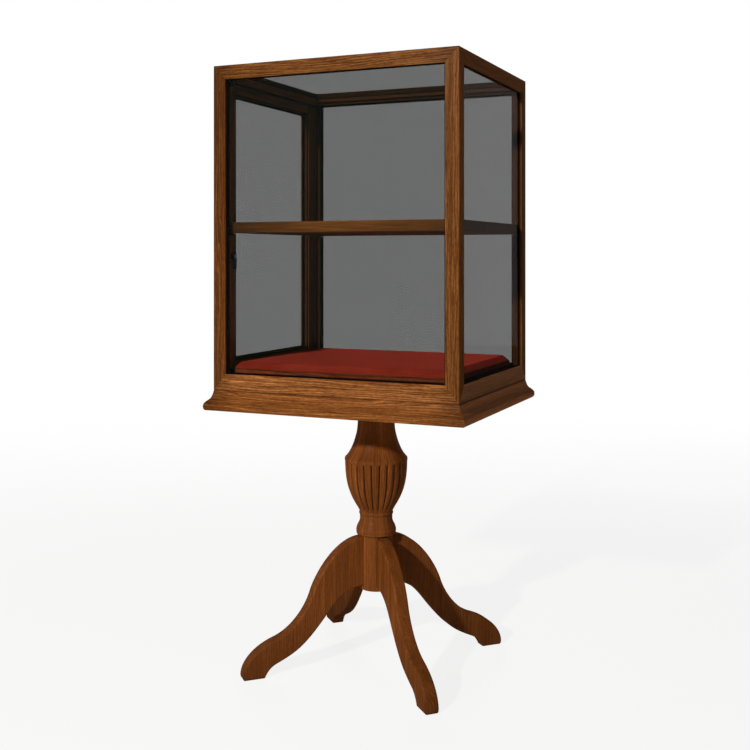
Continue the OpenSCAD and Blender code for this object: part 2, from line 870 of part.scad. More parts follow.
module turned_column() {
    core = [for (p = concat([urn_curve[0]], curve(urn_curve, reed_rings)))
        [p[0] * (1 - reed_depth * 2 * PI / reed_count) - 2 * reed_step - 1, p[1]]];
    outline = concat(
        [[0, floor_low - fit], [tenon_r, floor_low - fit]],
        [[tenon_r, block_low], [neck_r, block_low]],
        curve(neck_flare[0], 4),
        curve(neck_flare[1], 12),
        curve(neck_flare[2], 6),
        core,
        [[urn_end_r, urn_low], waist_bead[0]],
        curve(waist_bead, 6),
        [[waist_r - 0.9, waist_at(0.78)], [waist_r - 0.2, waist_at(0.754)], waist_cove[0]],
        curve(waist_cove, 6),
        [[ring_r - 2.6, waist_at(0.288)], ring_bead[0]],
        curve(ring_bead, 6),
        [[ring_r - 1.2, waist_at(0.068)], [ring_r - 0.6, waist_at(0.042)], [ring_r - 1, hub_top]],
        [[hub_r, hub_top], [hub_r, hub_low + 1], [hub_r - 1, hub_low], [0, hub_low]]
    );
    rotate_extrude() polygon(outline);
}

module column() {
    color(wood) difference() {
        union() {
            turned_column();
            reeded_urn();
        }
        hub_flats();
        leg_dowel_set(glue);
    }
}

// ---- Legs ----

// A leg's side view. Points are [share of the way from the hub to the toe, share
// of the height]. The upper edge runs from the hub to the toe, and the lower edge
// from the heel back to the hub.
leg_upper = [
    [[0, 1], [0.205, 0.990], [0.380, 0.738], [0.428, 0.595]],
    [[0.428, 0.595], [0.475, 0.465], [0.590, 0.325], [0.745, 0.278]],
    [[0.745, 0.278], [0.890, 0.228], [0.995, 0.130], [1, 0.030]]
];
leg_lower = [
    [[0.815, 0.012], [0.795, 0.052], [0.765, 0.080], [0.725, 0.097]],
    [[0.725, 0.097], [0.560, 0.165], [0.500, 0.200], [0.345, 0.376]],
    [[0.345, 0.376], [0.270, 0.460], [0.180, 0.612], [0, 0.618]]
];
leg_steps = 8;
toe_back = 3.5;         // how far the toe is rounded back at the floor

function leg_point(p) = [hub_r + p[0] * (leg_reach - hub_r), p[1] * leg_top];

// The hub has a flat for each leg, just wider than the leg, which seats on it
leg_low = leg_point(leg_lower[2][3])[1];
hub_flat = sqrt(hub_r * hub_r - (leg_t / 2 + fit) * (leg_t / 2 + fit));

leg_side = concat(
    [[hub_flat, leg_top], [hub_r, leg_top]],
    [for (c = leg_upper, p = curve(c, leg_steps)) leg_point(p)],
    [leg_point([1, 0]) - [toe_back, 0], leg_point([0.82, 0]), leg_point(leg_lower[0][0])],
    [for (c = leg_lower, p = curve(c, leg_steps)) leg_point(p)],
    [[hub_flat, leg_low]]
);

// The side view drawn in by d along its normals. Its first and last points stay
// on the hub's flat.
function drawn_in(outline, d) = let (last = len(outline) - 1) concat(
    [outline[0] - [0, d]],
    [for (i = [1:last - 1])
        let (along = outline[i + 1] - outline[i - 1])
            outline[i] + d * [along[1], -along[0]] / norm(along)],
    [outline[last] + [0, d]]
);

// Layers across the leg's thickness: how far each lies from the middle, and how
// far its outline is drawn in to round the edges
round_steps = 3;
leg_layers = [
    for (side = [-1, 1], k = [0:round_steps])
        let (a = 90 / round_steps * (side < 0 ? k : round_steps - k))
            [side * (leg_t / 2 - leg_round * (1 - cos(a))), leg_round * (1 - sin(a))]
];

module leg_solid() {
    n = len(leg_side);
    points = [
        for (layer = leg_layers, p = drawn_in(leg_side, layer[1])) [p[0], layer[0], p[1]]
    ];
    polyhedron(points, tube_faces(len(leg_layers), n), convexity = 6);
}

leg_dowel_low = leg_top * 0.72;
leg_dowel_high = leg_top * 0.88;

module leg_dowel_pair(angle, clearance) {
    r = leg_dowel_d / 2 + clearance;
    l = leg_dowel_l + 2 * clearance;
    for (z = [leg_dowel_low, leg_dowel_high])
        rotate(angle) translate([hub_r - l / 2, 0, z]) rotate([0, 90, 0]) cylinder(l, r, r, $fn = 48);
}

leg_angles = [45, 135, 225, 315];

module leg_dowel_set(clearance) {
    for (a = leg_angles) leg_dowel_pair(a, clearance);
}

module leg(angle) {
    color(wood) difference() {
        rotate(angle) leg_solid();
        leg_dowel_pair(angle, glue);
    }
}

module hub_flats() {
    for (a = leg_angles) rotate(a)
        span([hub_flat, -leg_t, leg_low - fit], [hub_r + 1, leg_t, leg_top + fit]);
}

module leg_dowels() {
    color(board) leg_dowel_set(0);
}

// ---- Nodes ----

post(-1, -1);  // post_front_left
post(1, -1);  // post_front_right
post(-1, 1);  // post_back_left
post(1, 1);  // post_back_right
cut_rail() on_front() rail(half_w, case_top, sight_high);  // top_rail_front
cut_rail() on_back() rail(half_w, case_top, sight_high);  // top_rail_back
cut_rail() on_left() rail(half_d, case_top, sight_high);  // top_rail_left
cut_rail() on_right() rail(half_d, case_top, sight_high);  // top_rail_right
cut_rail() on_front() rail(half_w, frame_low, sight_low);  // bottom_rail_front
cut_rail() on_back() rail(half_w, frame_low, sight_low);  // bottom_rail_back
cut_rail() on_left() rail(half_d, frame_low, sight_low);  // bottom_rail_left
cut_rail() on_right() rail(half_d, frame_low, sight_low);  // bottom_rail_right
on_front() moulding(half_w);  // base_moulding_front
on_back() moulding(half_w);  // base_moulding_back
on_left() moulding(half_d);  // base_moulding_left
on_right() moulding(half_d);  // base_moulding_right
frame_dowels();
case_floor();
deck_bearers();
deck_board();
display_pad();
shelf();
shelf_pins();
on_front() pane(in_w, sight_low, sight_high);  // glass_front
on_right() pane(in_d, sight_low, sight_high);  // glass_right
on_back() pane(in_w, sight_low, sight_high);  // glass_back
glass_top();
on_front() seal(in_w, sight_low, sight_high);  // seal_front
on_right() seal(in_d, sight_low, sight_high);  // seal_right
on_back() seal(in_w, sight_low, sight_high);  // seal_back
seal_top();
glazing_beads();
door_stile(-1);  // door_stile_hinge
door_stile(1);  // door_stile_lock
door_rail(door_high, light_high);  // door_rail_top
door_rail(door_low, light_low);  // door_rail_bottom
door_glass();
door_seal();
door_beads();
door_stops();
hinge_leaves_case();
hinge_leaves_door();
hinge_pins();
hinge_screws_case();
hinge_screws_door();
door_knob();
knob_screw();
lock_housing();
lock_nut();
lock_plug();
lock_cam();
mounting_block();
column();
leg(225);  // leg_front_left
leg(315);  // leg_front_right
leg(135);  // leg_back_left
leg(45);  // leg_back_right
leg_dowels();
stand_bolts();
stand_nuts();
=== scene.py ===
# %% [markdown]
# # A pedestal display case
#
# The real object is a glazed oak showcase on a turned column with four S-curved
# legs. Its left side is a door, and a red velvet pad lies on its deck. The solids
# come from the part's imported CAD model. Here each visible piece gets the eased
# edges, the finer curves and the finish that the real one has.

import json
import math
import bpy
import bmesh
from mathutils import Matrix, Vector


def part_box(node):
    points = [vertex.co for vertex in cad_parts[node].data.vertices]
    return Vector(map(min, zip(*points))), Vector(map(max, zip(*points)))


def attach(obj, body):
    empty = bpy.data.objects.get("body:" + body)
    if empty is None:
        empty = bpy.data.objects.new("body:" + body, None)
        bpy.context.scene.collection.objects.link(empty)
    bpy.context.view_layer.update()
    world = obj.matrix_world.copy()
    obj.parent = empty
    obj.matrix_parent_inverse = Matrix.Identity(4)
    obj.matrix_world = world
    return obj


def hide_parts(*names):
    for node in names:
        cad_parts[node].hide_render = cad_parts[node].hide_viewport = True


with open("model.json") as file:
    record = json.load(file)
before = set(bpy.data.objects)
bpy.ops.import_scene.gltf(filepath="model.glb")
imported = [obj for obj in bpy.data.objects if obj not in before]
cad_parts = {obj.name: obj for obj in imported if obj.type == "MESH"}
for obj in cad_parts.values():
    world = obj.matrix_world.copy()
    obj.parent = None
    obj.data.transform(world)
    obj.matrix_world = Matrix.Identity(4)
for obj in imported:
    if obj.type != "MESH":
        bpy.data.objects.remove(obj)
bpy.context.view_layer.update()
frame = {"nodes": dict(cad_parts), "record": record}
solids = frame["nodes"]

# %% [markdown]
# ## Camera
#
# The photograph was taken from the front right, a little below the middle of the
# case. Its upright edges are parallel, so the camera looks level and its lens is
# shifted down. A camera that tilts would bring the uprights together.

# %% Place the camera


def placed(name, data):
    """A new object in the scene."""
    made = bpy.data.objects.new(name, data)
    bpy.context.scene.collection.objects.link(made)
    return made


camera_data = bpy.data.cameras.new("camera")
camera_data.sensor_width = 36
camera_data.lens = 51.25
camera_data.shift_y = -0.159
camera = placed("camera", camera_data)
camera.location = (1.058, -2.398, 0.992)
camera.rotation_euler = (math.radians(90), 0, math.radians(23.87))
bpy.context.scene.camera = camera
print("camera at", tuple(round(v, 3) for v in camera.location))

# %% [markdown]
# ## Floor, backdrop and light
#
# A white paper floor runs out to a white sky. Both are white by their own colour,
# and only to the eye, so the wood is lit by the lamps and a little light from the
# sky. Near the object the paper keeps a part of its true shading, so that a soft
# shadow shows on it.
#
# One small, bright lamp stands in front, a little to the left and above, and throws
# the case's shadow on the column. A weak one hangs high on the right and opens up
# the shaded faces, and one behind lights the back and the door.
#
# A material is a tree of nodes round one shader. A few helpers add a node, fill its
# inputs and link it, so that each finish reads as a list of steps.

# %% Add, fill and link nodes


def feed(tree, socket, value):
    """Gives an input a number, a colour or vector, or the output of a node."""
    if isinstance(value, (int, float)):
        socket.default_value = value
    elif isinstance(value, tuple):
        opaque = len(value) < len(socket.default_value)
        socket.default_value = (*value, 1) if opaque else value
    else:
        tree.links.new(value, socket)


def fill(tree, node, inputs):
    """Feeds the named inputs of a node."""
    for key, value in inputs.items():
        feed(tree, node.inputs[key], value)


def add_node(tree, kind, inputs=None, **settings):
    """A new node with its settings and its inputs."""
    made = tree.nodes.new("ShaderNode" + kind)
    for key, value in settings.items():
        setattr(made, key, value)
    fill(tree, made, inputs or {})
    return made


def blank_material(name):
    """A new material with one Principled shader, and its node tree."""
    material = bpy.data.materials.new(name)
    material.use_nodes = True
    tree = material.node_tree
    return material, tree, tree.nodes["Principled BSDF"]


print("node helpers are ready")

# %% Sums on values and vectors


def math_node(tree, operation, first, second=0.0):
    """One sum on two values."""
    made = add_node(tree, "Math", {0: first, 1: second}, operation=operation)
    return made.outputs[0]


def vector_node(tree, operation, *vectors):
    """One sum on vectors. A length or a dot product gives a plain value."""
    made = add_node(tree, "VectorMath", dict(enumerate(vectors)), operation=operation)
    plain = operation in ("LENGTH", "DOT_PRODUCT")
    return made.outputs["Value" if plain else "Vector"]


print("sums are ready")

# %% Floor
floor_reach = 9
floor_mesh = bpy.data.meshes.new("floor")
floor_mesh.from_pydata([
    (-floor_reach, -floor_reach, 0), (floor_reach, -floor_reach, 0),
    (floor_reach, floor_reach, 0), (-floor_reach, floor_reach, 0),
], [], [(0, 1, 2, 3)])
floor = placed("floor", floor_mesh)
print("floor:", tuple(round(v, 1) for v in floor.dimensions))

# %% White paper
shaded_within, white_from = 0.9, 4.5
white_near, white_far = 0.84, 1.0
paper, paper_tree, paper_shader = blank_material("white_paper")
fill(paper_tree, paper_shader, {
    "Base Color": (0.88, 0.88, 0.88), "Roughness": 0.9, "Specular IOR Level": 0.0,
})
paper_place = add_node(paper_tree, "TexCoord").outputs["Object"]
paper_fade = add_node(paper_tree, "MapRange", {
    "Value": vector_node(paper_tree, "LENGTH", paper_place),
    "From Min": shaded_within, "From Max": white_from,
    "To Min": white_near, "To Max": white_far,
}, interpolation_type="SMOOTHSTEP")
paper_seen = add_node(paper_tree, "LightPath").outputs["Is Camera Ray"]
paper_share = math_node(
    paper_tree, "MULTIPLY", paper_seen, paper_fade.outputs["Result"]
)
plain_white = add_node(paper_tree, "Emission", {"Color": (1, 1, 1)})
paper_mix = add_node(paper_tree, "MixShader", {
    0: paper_share, 1: paper_shader.outputs[0], 2: plain_white.outputs[0],
})
paper_output = paper_tree.nodes["Material Output"]
paper_tree.links.new(paper_mix.outputs[0], paper_output.inputs["Surface"])
floor_mesh.materials.append(paper)
print("paper is plain white from", white_from, "m outwards")

# %% Sky
world = bpy.data.worlds.new("white_room")
bpy.context.scene.world = world
world.use_nodes = True
sky = world.node_tree
sky.nodes.clear()
sky_path = add_node(sky, "LightPath").outputs
sky_rays = math_node(
    sky, "MAXIMUM", sky_path["Is Camera Ray"], sky_path["Is Glossy Ray"]
)
sky_rays = math_node(sky, "MAXIMUM", sky_rays, sky_path["Is Transmission Ray"])
sky_seen = add_node(sky, "Background", {"Color": (1, 1, 1), "Strength": 1.0})
sky_light = add_node(
    sky, "Background", {"Color": (1, 0.985, 0.96), "Strength": 0.10}
)
sky_mix = add_node(
    sky, "MixShader", {0: sky_rays, 1: sky_light.outputs[0], 2: sky_seen.outputs[0]}
)
add_node(sky, "OutputWorld", {"Surface": sky_mix.outputs[0]})
bpy.context.scene.view_settings.view_transform = "Standard"
print("sky light:", round(sky_light.inputs["Strength"].default_value, 2))

# %% Lamps


def soft_lamp(name, place, aim, size, watts, colour=(1, 1, 1)):
    """A square lamp that shines from place towards aim."""
    lamp = bpy.data.lights.new(name, "AREA")
    lamp.shape = "SQUARE"
    lamp.size = size
    lamp.energy = watts
    lamp.color = colour
    holder = placed(name, lamp)
    holder.location = place
    away = Vector(place) - Vector(aim)
    holder.rotation_euler = away.to_track_quat("Z", "Y").to_euler()
    return holder


key_aim, soft_aim = (0, 0, 0.8), (0, 0, 0.9)
warm_white = (1, 0.97, 0.92)
key_lamp = soft_lamp("key_lamp", (-0.85, -5.1, 2.80), key_aim, 0.22, 252, warm_white)
fill_lamp = soft_lamp("fill_lamp", (2.3, -1.3, 4.2), soft_aim, 1.2, 10)
back_lamp = soft_lamp("back_lamp", (-2.2, 4.0, 2.0), soft_aim, 1.6, 75)
for lamp in (fill_lamp, back_lamp):
    lamp.visible_glossy = False
print("lamps:", key_lamp.data.energy, fill_lamp.data.energy, back_lamp.data.energy)

# %% [markdown]
# ## Stained oak
#
# The case and the stand are oak with a warm brown stain. Such a board shows wavy
# contour lines, where its face cuts the growth rings at a slant, and between them
# fine fibres and short dark pores. A picture of wood round each member would
# stretch and repeat. Here the lines come from sums on the place of each point, so
# they run through the solid and meet at its edges, as real grain does. A plane
# slope across the board is pushed about by slow noises, and what is left of it
# after the whole numbers is the way from one contour line to the next.
#
# Each member is cut from its own place in the wood. Its tone is set member by
# member, and besides the way boards differ it holds painted light and shade:
# members in shade are painted lighter, some others darker. The front and back
# members are darker towards their ends. Painted shadow lines lie in the joint under
# the bottom rails and in the hollow of the moulding, and the column's grooves are
# painted darker, with shade and the stain that gathers there.

# %% Colours, places and noise


def summed(tree, *terms):
    """Values added up, each times its share."""
    first, *others = [
        math_node(tree, "MULTIPLY", value, share) for value, share in terms
    ]
    for other in others:
        first = math_node(tree, "ADD", first, other)
    return first


def multiplied(tree, share, colour, layer):
    """A colour times a layer over it, by a share."""
    made = add_node(
        tree, "Mix", {0: share, 6: colour, 7: layer},
        data_type="RGBA", blend_type="MULTIPLY",
    )
    return made.outputs[2]


def ramp(tree, source, stops):
    """A colour ramp over a value, as (place, colour) stops."""
    made = add_node(tree, "ValToRGB", {0: source})
    elements = made.color_ramp.elements
    while len(elements) < len(stops):
        elements.new(0.5)
    for element, (place, colour) in zip(elements, stops):
        element.position = place
        element.color = (*colour, 1)
    return made.outputs[0]


def mapped(tree, source, turn=(0, 0, 0), shift=(0, 0, 0), stretch=(1, 1, 1)):
    """Coordinates that are stretched, turned and then shifted."""
    made = add_node(tree, "Mapping", {
        "Vector": source, "Rotation": turn, "Location": shift, "Scale": stretch,
    })
    return made.outputs["Vector"]


def noise(tree, source, scale, detail=3, roughness=0.55):
    """A noise value between 0 and 1."""
    made = add_node(tree, "TexNoise", {
        "Vector": source, "Scale": scale, "Detail": detail, "Roughness": roughness,
    })
    return made.outputs["Fac"]


def bump(tree, shader, height, distance, strength):
    """Fine relief on a surface."""
    made = add_node(
        tree, "Bump", {"Height": height, "Distance": distance, "Strength": strength}
    )
    tree.links.new(made.outputs["Normal"], shader.inputs["Normal"])


print("texture helpers are ready")

# %% Coordinates along the grain
upright = (0, 0, 0)
along_x = (0, math.radians(90), 0)
along_y = (math.radians(90), 0, 0)

# How far the grain wanders to the side, in metres, and how quickly along it.
calm_grain = (0.006, 2.6)
wavy_grain = (0.009, 5.5)
lively_grain = (0.011, 5.5)


def wavered(tree, source, wander):
    """The same coordinates, pushed sideways by a slow noise, as grain wanders."""
    reach, waves = wander
    slow = add_node(tree, "TexNoise", {
        "Vector": mapped(tree, source, stretch=(13, 13, waves)),
        "Scale": 1.0, "Detail": 2.0,
    })
    return vector_node(
        tree, "MULTIPLY_ADD", slow.outputs["Color"], (reach, reach, 0), source
    )


def round_about(tree, source, radius):
    """Coordinates of the point at one radius from the axis, in the same direction.
    On a turned piece, its streaks then run up the outline."""
    flat = vector_node(tree, "MULTIPLY", source, (1, 1, 0))
    outward = vector_node(tree, "NORMALIZE", flat)
    rise = vector_node(tree, "MULTIPLY", source, (0, 0, 1))
    return vector_node(tree, "MULTIPLY_ADD", outward, (radius, radius, 0), rise)


print("grain wanders up to", lively_grain[0], "m")

# %% Tone along a member


def faded(tree, colour, place, fades):
    """A colour made darker or lighter towards the ends of a member. Each fade is
    an axis, where it starts, where it ends, and the share of the colour there."""
    ways = add_node(tree, "SeparateXYZ", {0: place})
    for axis, start, stop, share in fades:
        fade = add_node(tree, "MapRange", {
            "Value": ways.outputs[axis], "From Min": start, "From Max": stop,
            "To Min": 1.0, "To Max": share,
        }, interpolation_type="SMOOTHSTEP")
        colour = multiplied(tree, 1.0, colour, fade.outputs["Result"])
    return colour


def shadow_lined(tree, colour, place, lines):
    """A colour with painted shadow lines at set heights, as shade falls in a joint.
    Each line is its height, its reach up and down, and the share of the colour in
    its core, from which it fades."""
    core = 0.4
    ways = add_node(tree, "SeparateXYZ", {0: place})
    for height, reach, share in lines:
        off = math_node(tree, "SUBTRACT", ways.outputs[2], height)
        line = add_node(tree, "MapRange", {
            "Value": math_node(tree, "ABSOLUTE", off),
            "From Min": reach * core, "From Max": reach, "To Min": share, "To Max": 1.0,
        })
        colour = multiplied(tree, 1.0, colour, line.outputs["Result"])
    return colour


print("tone helpers are ready")

# %% Contour lines, fibres and pores


def contour_lines(tree, grain, rings):
    """Where a point lies on its way from one contour line to the next, 0 to 1."""
    lines_per_metre = (105 * rings, 120 * rings, 0)
    bent_by, frayed_by = 8.0, 0.7
    drawn_out = mapped(tree, grain, stretch=(1, 1, 0.07))
    bends = noise(tree, drawn_out, 26.0, 1, 0.5)
    frays = noise(tree, drawn_out, 200.0, 1, 0.6)
    slope = vector_node(tree, "DOT_PRODUCT", grain, lines_per_metre)
    level = summed(tree, (slope, 1.0), (bends, bent_by), (frays, frayed_by))
    return math_node(tree, "FRACT", level)


def fibres_and_pores(tree, grain):
    """Two fine noises along the grain: long fibres and short pores."""
    long, short = (1, 1, 0.025), (1, 1, 0.20)
    fibre = noise(tree, mapped(tree, grain, stretch=long), 480.0, 1, 0.6)
    pore = noise(tree, mapped(tree, grain, stretch=short), 460.0, 1, 0.6)
    return fibre, pore


print("grain helpers are ready")

# %% Shades of the stain
oak_places = (0.32, 0.50, 0.68)
oak_dark = (0.105, 0.030, 0.0075)
oak_mid = (0.255, 0.088, 0.021)
oak_light = (0.385, 0.150, 0.042)
contour_shades = [
    (0.00, (0.86, 0.84, 0.82)), (0.30, (1.00, 1.00, 1.00)), (0.44, (1.75, 1.85, 2.00)),
    (0.58, (0.98, 0.98, 0.97)), (0.82, (0.56, 0.52, 0.49)), (1.00, (0.86, 0.84, 0.82)),
]
contour_share = 0.75
band_shades = [(0.3, (0.82, 0.80, 0.78)), (0.7, (1.16, 1.16, 1.16))]
# The column's grooves are painted darker: painted shade, with the stain that gathers
# there.
groove_stain_and_shadow = [(0.15, (1, 1, 1)), (0.9, (0.16, 0.12, 0.10))]


def toned_oak(tone, figure):
    """Dark, middle and light oak, times a tone. A low figure draws them together."""
    return [
        tuple(t * (m + (c - m) * figure) for c, m, t in zip(shade, oak_mid, tone))
        for shade in (oak_dark, oak_mid, oak_light)
    ]


print("shades of plain oak:", toned_oak((1, 1, 1), 1.0))

# %% Stained oak material
column_grain_r = 0.06
along_per_cut = 7.3
wide_bands = (45, 45, 1.6)
oak_relief, oak_relief_strength = 0.0003, 0.30


def stained_oak(name, cut, lay=upright, tone=(1, 1, 1), figure=1.0, fades=(), lines=(),
                rings=1.0, gloss=0.03, turned=False, wander=calm_grain):
    """Oak whose grain runs along local Z after lay turns the member.

    cut is where the member is cut from the wood, in metres across the grain. figure
    is how much of the grain shows, and rings how close the contour lines lie. tone
    and fades also carry painted light and shade on some members. On the turned
    column the grooves are painted darker: painted shade, with the stain that gathers
    there."""
    material, tree, shader = blank_material(name)
    place = add_node(tree, "TexCoord").outputs["Object"]
    if turned:
        place = round_about(tree, place, column_grain_r)
    along = mapped(tree, place, turn=lay, shift=(*cut, cut[0] * along_per_cut))
    grain = wavered(tree, along, wander)
    contour = contour_lines(tree, grain, rings)
    fibre, pore = fibres_and_pores(tree, grain)
    fine = summed(tree, (fibre, 0.6), (pore, 0.4))
    bands = noise(tree, mapped(tree, grain, stretch=wide_bands), 1.0, 1)
    layers = [
        (contour_share * figure, ramp(tree, contour, contour_shades)),
        (1.0, ramp(tree, bands, band_shades)),
    ]
    colour = ramp(tree, fine, list(zip(oak_places, toned_oak(tone, figure))))
    for share, layer in layers:
        colour = multiplied(tree, share, colour, layer)
    colour = faded(tree, colour, place, fades)
    colour = shadow_lined(tree, colour, place, lines)
    if turned:
        # Painted shade in the grooves, with the stain that gathers there.
        groove = add_node(tree, "Attribute", attribute_name="groove").outputs["Fac"]
        shade_and_stain = ramp(tree, groove, groove_stain_and_shadow)
        colour = multiplied(tree, 1.0, colour, shade_and_stain)
    dull = math_node(tree, "ADD", math_node(tree, "MULTIPLY", fibre, 0.20), 0.30)
    fill(tree, shader, {
        "Base Color": colour, "Roughness": dull, "Specular IOR Level": 0.0,
        "Coat Weight": gloss, "Coat Roughness": 0.35,
    })
    relief = summed(tree, (contour, 0.4), (fibre, 1.0))
    bump(tree, shader, relief, oak_relief, oak_relief_strength)
    return material


print("stained oak is ready")

# %% [markdown]
# ## Plain wood, glass, seals, velvet and metal
#
# The hidden boards are unstained. The panes are smoked glass: each holds back two
# fifths of the light, so that the white room looks grey behind two of them. A
# plain alpha does this, and the panes throw no shadow, because clear sheets keep
# the inside of a case bright. The seals are black rubber, but dark brown round the
# right pane, where no black line shows.
#
# The velvet's pile is a fine noise with a sheen, which lightens it where it is seen
# at a slant, as short fibres do. Hairs would cost far more and could not be told
# apart from here. Brass and steel are plain metals whose colour and roughness are
# a little uneven, from handling.

# %% Plain wood
board_wood, board_tree, board_shader = blank_material("plain_board")
board_place = add_node(board_tree, "TexCoord").outputs["Object"]
board_along = mapped(board_tree, board_place, turn=along_x)
board_fibre = noise(
    board_tree, mapped(board_tree, board_along, stretch=(1, 1, 0.04)), 240.0, 4, 0.6
)
board_colour = ramp(
    board_tree, board_fibre, [(0.3, (0.30, 0.16, 0.07)), (0.7, (0.50, 0.31, 0.16))]
)
fill(board_tree, board_shader, {"Base Color": board_colour, "Roughness": 0.6})
bump(board_tree, board_shader, board_fibre, 0.0003, 0.4)
print("plain wood is ready")

# %% Smoked glass
smoked_glass, glass_tree, glass_shader = blank_material("smoked_glass")
fill(glass_tree, glass_shader, {
    "Base Color": (0.0012, 0.0040, 0.0030), "Alpha": 0.39, "Roughness": 0.02,
    "IOR": 1.5, "Specular IOR Level": 0.0, "Coat Weight": 0.15, "Coat Roughness": 0.02,
})
print("a pane holds back", round(glass_shader.inputs["Alpha"].default_value, 2))

# %% Rubber seals


def rubber(name, dark, light):
    """Dull rubber with a fine grain."""
    material, tree, shader = blank_material(name)
    place = add_node(tree, "TexCoord").outputs["Object"]
    grain = noise(tree, place, 900.0)
    fill(tree, shader, {
        "Base Color": ramp(tree, grain, [(0.3, dark), (0.7, light)]),
        "Roughness": 0.62, "Specular IOR Level": 0.0,
    })
    bump(tree, shader, grain, 0.0002, 0.4)
    return material


black_seal = rubber("black_seal", (0.003, 0.002, 0.0015), (0.008, 0.006, 0.005))
brown_seal = rubber("brown_seal", (0.018, 0.012, 0.008), (0.030, 0.021, 0.014))
print("seals are ready")

# %% Red velvet
velvet, velvet_tree, velvet_shader = blank_material("red_velvet")
velvet_place = add_node(velvet_tree, "TexCoord").outputs["Object"]
pile = noise(velvet_tree, velvet_place, 1500.0, 2, 0.6)
brushed = noise(
    velvet_tree, mapped(velvet_tree, velvet_place, stretch=(1, 2.2, 1)), 9.0, 3, 0.6
)
velvet_colour = ramp(velvet_tree, summed(velvet_tree, (pile, 0.45), (brushed, 0.55)), [
    (0.30, (0.35, 0.028, 0.012)), (0.52, (0.54, 0.053, 0.025)),
    (0.75, (0.71, 0.092, 0.048)),
])
fill(velvet_tree, velvet_shader, {
    "Base Color": velvet_colour, "Roughness": 0.92, "Specular IOR Level": 0.0,
    "Sheen Weight": 0.7, "Sheen Roughness": 0.4, "Sheen Tint": (0.8, 0.10, 0.06),
})
bump(velvet_tree, velvet_shader, pile, 0.0005, 0.5)
print("velvet is ready")

# %% Brass and steel


def metal(name, colour, shine):
    """Polished metal with faint marks of handling."""
    material, tree, shader = blank_material(name)
    place = add_node(tree, "TexCoord").outputs["Object"]
    marks = noise(tree, place, 260.0, 5, 0.65)
    handled = tuple(c * 0.82 for c in colour)
    uneven = math_node(tree, "MULTIPLY", marks, 0.16)
    fill(tree, shader, {
        "Base Color": ramp(tree, marks, [(0.3, handled), (0.7, colour)]),
        "Metallic": 1.0, "Roughness": math_node(tree, "ADD", uneven, shine),
    })
    return material


brass = metal("polished_brass", (0.72, 0.50, 0.20), 0.16)
steel = metal("plated_steel", (0.56, 0.56, 0.55), 0.24)
# Dark steel for the lock's inner parts: painted shade inside the case.
steel_painted_shade = metal("steel_painted_shade", (0.045, 0.035, 0.028), 0.36)
print("materials:", len(bpy.data.materials))

# %% [markdown]
# ## Members of the case
#
# A joiner takes the sharp edge off each member with one pass of sandpaper, and
# leaves the mitres sharp so that they close. A bevel of about a millimetre on the
# long edges does the same. It is a modifier with weights, so that only the edges
# along the member are eased. In the CAD model such small rounds would cost many
# faces and change nothing in how the members fit.

# %% Mark the long edges of a member


def long_edges(work, along):
    """Marks the sharp edges, weights those along the member for the bevel, and
    says how many they are."""
    sharp_turn, shortest, straight = math.radians(28), 0.05, 0.999
    weights = work.edges.layers.float.new("bevel_weight_edge")
    count = 0
    for edge in work.edges:
        if len(edge.link_faces) != 2 or edge.calc_face_angle(0) <= sharp_turn:
            continue
        edge.smooth = False
        way = edge.verts[1].co - edge.verts[0].co
        if way.length > shortest and abs(way.normalized().dot(along)) > straight:
            edge[weights] = 1.0
            count += 1
    return count


print("long edges are marked by weight")

# %% Ease the long edges of a member


def eased(node, along, finish, width, body="case"):
    """A copy of a solid in its place, with its long edges eased by a width."""
    welded, flat = 1e-6, math.radians(0.6)
    work = bmesh.new()
    work.from_mesh(solids[node].data)
    bmesh.ops.remove_doubles(work, verts=work.verts, dist=welded)
    bmesh.ops.dissolve_limit(
        work, angle_limit=flat, verts=work.verts, edges=work.edges
    )
    count = long_edges(work, Vector(along))
    for face in work.faces:
        face.smooth = True
    mesh = bpy.data.meshes.new(node + "_eased")
    work.to_mesh(mesh)
    work.free()
    mesh.materials.append(finish)
    piece = placed(node + "_eased", mesh)
    if count:
        ease = piece.modifiers.new("ease", "BEVEL")
        ease.limit_method = "WEIGHT"
        ease.width = width
        ease.segments = 3
        ease.harden_normals = True
    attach(piece, body)
    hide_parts(node)


way_x, way_y, way_z = (1, 0, 0), (0, 1, 0), (0, 0, 1)
frame_ease, moulding_ease, door_ease = 0.0012, 0.0005, 0.0008
shelf_ease, deck_ease, stop_ease = 0.0010, 0.0008, 0.0006
print("edges of the frame are eased by", frame_ease, "m")

# %% Posts
# The tone of each post, and how much of its grain shows. The tones hold painted
# light and shade besides the wood's own tone: the back left post, in shade inside
# the case, is painted lighter, and the front left post darker.
post_looks_with_painted_light = {
    ("front", "left"): ((0.42, 0.40, 0.40), 0.80),
    ("back", "left"): ((0.75, 0.78, 0.80), 0.40),
    ("front", "right"): ((0.58, 0.60, 0.58), 0.85),
    ("back", "right"): ((0.42, 0.46, 0.52), 0.40),
}
# The left posts are darker towards their tops: painted shade.
painted_shade_upwards = [(2, 0.85, 1.42, 0.66)]
member_count = 0
for side in ("left", "right"):
    for end in ("front", "back"):
        node = f"post_{end}_{side}"
        cut = (0.055 + 0.013 * member_count, -0.040 + 0.021 * member_count)
        tone, figure = post_looks_with_painted_light[end, side]
        fades = painted_shade_upwards if side == "left" else []
        finish = stained_oak(
            "oak_" + node, cut, upright, tone, figure, fades, wander=wavy_grain
        )
        eased(node, way_z, finish, frame_ease)
        member_count += 1
print("posts eased:", member_count)

